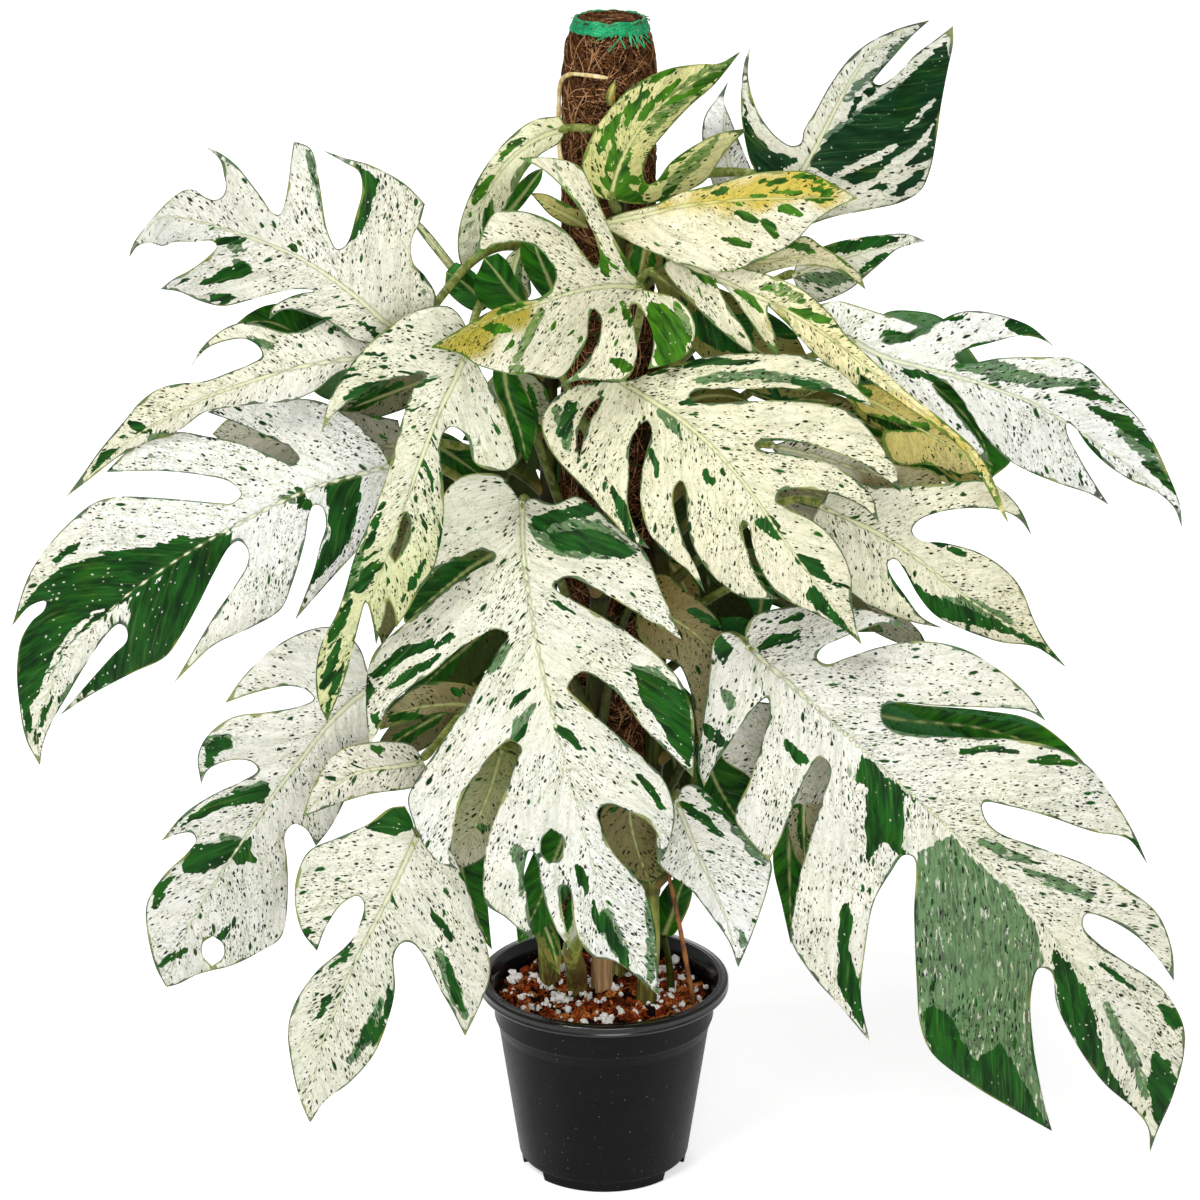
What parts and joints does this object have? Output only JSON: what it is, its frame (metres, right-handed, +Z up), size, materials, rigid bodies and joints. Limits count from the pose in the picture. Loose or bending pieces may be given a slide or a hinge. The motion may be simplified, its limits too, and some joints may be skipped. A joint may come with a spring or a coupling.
{
  "type": "potted_climbing_plant",
  "caption": "Potted variegated split-leaf Epipremnum pinnatum: white and green marbled leaves on stalks climbing a coconut-fibre pole in a black nursery pot, made to stand on a floor or shelf",
  "frame": {"origin": "The middle of the underside of the pot, on the floor that it stands on, at the axis of the pot", "axes": "+Z up along the pot and the pole; the viewer of the front stands at -Y; +X to the viewer's right"},
  "size_m": [0.7187, 0.3374, 0.7467],
  "materials": {
    "pot_plastic": "black satin moulded plastic, fine dust and scratches",
    "potting_mix": "rough damp coir and bark chips with white perlite",
    "core_wood": "matte tan stick",
    "coir_fibre": "rough dry coconut fibre",
    "net_plastic": "bright green extruded netting",
    "stem_skin": "smooth green to brown plant skin, semi-matte",
    "root_bark": "dry brown root bark",
    "root_cream": "pale smooth root skin",
    "leaf_green": "semi-gloss leaf, dark green",
    "leaf_cream": "semi-gloss leaf, cream yellow marbled with green",
    "leaf_marbled": "semi-gloss leaf, cool white marbled with green"
  },
  "bodies": {
    "root": {"back_stem": "stem_skin", "coir_pole": "coir_fibre", "leaf_arch_left": "leaf_cream", "leaf_back_high": "leaf_marbled", "leaf_back_left": "leaf_marbled", "leaf_back_low": "leaf_marbled", "leaf_back_low_left": "leaf_marbled", "leaf_back_low_right": "leaf_marbled", "leaf_back_right": "leaf_marbled", "leaf_center_right": "leaf_marbled", "leaf_cream_long": "leaf_cream", "leaf_cream_right": "leaf_cream", "leaf_cream_tail": "leaf_cream", "leaf_dark_right": "leaf_green", "leaf_front": "leaf_marbled", "leaf_front_left": "leaf_marbled", "leaf_gold_tip": "leaf_cream", "leaf_green_strap": "leaf_green", "leaf_green_young": "leaf_green", "leaf_left_beige": "leaf_marbled", "leaf_left_big": "leaf_marbled", "leaf_left_low": "leaf_marbled", "leaf_left_olive": "leaf_marbled", "leaf_left_shade_low": "leaf_green", "leaf_left_shade_up": "leaf_green", "leaf_left_top": "leaf_marbled", "leaf_left_tuck": "leaf_marbled", "leaf_left_under": "leaf_marbled", "leaf_low_left_dark": "leaf_green", "leaf_low_left_pale": "leaf_marbled", "leaf_low_right_back": "leaf_marbled", "leaf_low_right_dark": "leaf_green", "leaf_low_right_olive": "leaf_marbled", "leaf_mid_green": "leaf_green", "leaf_mid_olive": "leaf_marbled", "leaf_pot_left": "leaf_marbled", "leaf_pot_right": "leaf_marbled", "leaf_right_beige": "leaf_marbled", "leaf_right_gold": "leaf_cream", "leaf_right_low": "leaf_marbled", "leaf_right_mid": "leaf_marbled", "leaf_right_shade_low": "leaf_green", "leaf_right_shade_up": "leaf_green", "leaf_right_top": "leaf_marbled", "leaf_right_tuck": "leaf_marbled", "leaf_small_right": "leaf_marbled", "leaf_top_right": "leaf_cream", "leaf_upper_olive": "leaf_marbled", "leaf_white_back": "leaf_marbled", "left_stem": "stem_skin", "main_stem": "stem_skin", "net_band": "net_plastic", "nursery_pot": "pot_plastic", "pale_root": "root_cream", "pole_core": "core_wood", "potting_mix": "potting_mix", "right_stem": "stem_skin", "rod_root": "root_bark", "young_shoot": "leaf_green"}
  },
  "joints": []
}
